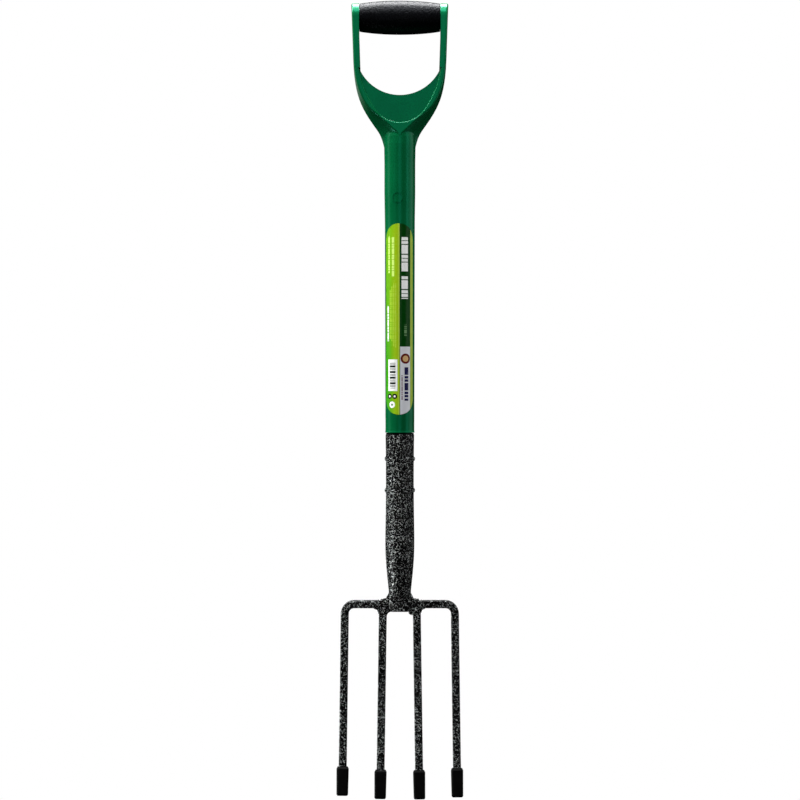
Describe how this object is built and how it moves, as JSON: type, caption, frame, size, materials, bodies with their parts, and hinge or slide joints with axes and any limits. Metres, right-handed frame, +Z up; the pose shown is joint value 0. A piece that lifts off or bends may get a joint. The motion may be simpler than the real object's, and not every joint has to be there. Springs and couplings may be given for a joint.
{
  "type": "border fork",
  "caption": "Long-handled garden fork with a D grip, plastic-sleeved steel shaft, riveted socket head, parallel tines and pull-off tip caps.",
  "frame": {"origin": "middle of the hand bar, where the fork is held", "axes": "+X along the hand bar, +Z up the shaft, the tines curve towards -Y, which is the front"},
  "size_m": [0.1486, 0.0409, 0.94],
  "materials": {
    "green_plastic": "glossy injection-moulded plastic",
    "grip_rubber": "soft, finely pebbled",
    "printed_vinyl": "printed vinyl sticker",
    "bare_steel": "bare drawn tube",
    "plug_plastic": "plain",
    "hammertone_steel": "black and silver hammertone powder coat",
    "cap_plastic": "soft black plastic"
  },
  "bodies": {
    "fork": {"handle_moulding": "green_plastic", "grip_sleeve": "grip_rubber", "label": "printed_vinyl", "shaft_tube": "bare_steel", "tube_plug": "plug_plastic", "socket": "hammertone_steel", "upper_rivet": "hammertone_steel", "lower_rivet": "hammertone_steel", "outer_tine_bar": "hammertone_steel", "inner_tine_bar": "hammertone_steel", "neck_weld": "hammertone_steel", "left_tine_weld": "hammertone_steel", "right_tine_weld": "hammertone_steel"},
    "cap_left_outer": {"tip_cap_left_outer": "cap_plastic"},
    "cap_left_inner": {"tip_cap_left_inner": "cap_plastic"},
    "cap_right_inner": {"tip_cap_right_inner": "cap_plastic"},
    "cap_right_outer": {"tip_cap_right_outer": "cap_plastic"}
  },
  "joints": [
    {"name": "left_outer_cap_pull", "type": "slide", "parent": "fork", "child": "cap_left_outer", "axis": [-0.0121, -0.1291, -0.9916], "range_m": [0, 0.034]},
    {"name": "left_inner_cap_pull", "type": "slide", "parent": "fork", "child": "cap_left_inner", "axis": [-0.0138, -0.1274, -0.9918], "range_m": [0, 0.034]},
    {"name": "right_inner_cap_pull", "type": "slide", "parent": "fork", "child": "cap_right_inner", "axis": [0.0138, -0.1274, -0.9918], "range_m": [0, 0.034]},
    {"name": "right_outer_cap_pull", "type": "slide", "parent": "fork", "child": "cap_right_outer", "axis": [0.0121, -0.1291, -0.9916], "range_m": [0, 0.034]}
  ]
}
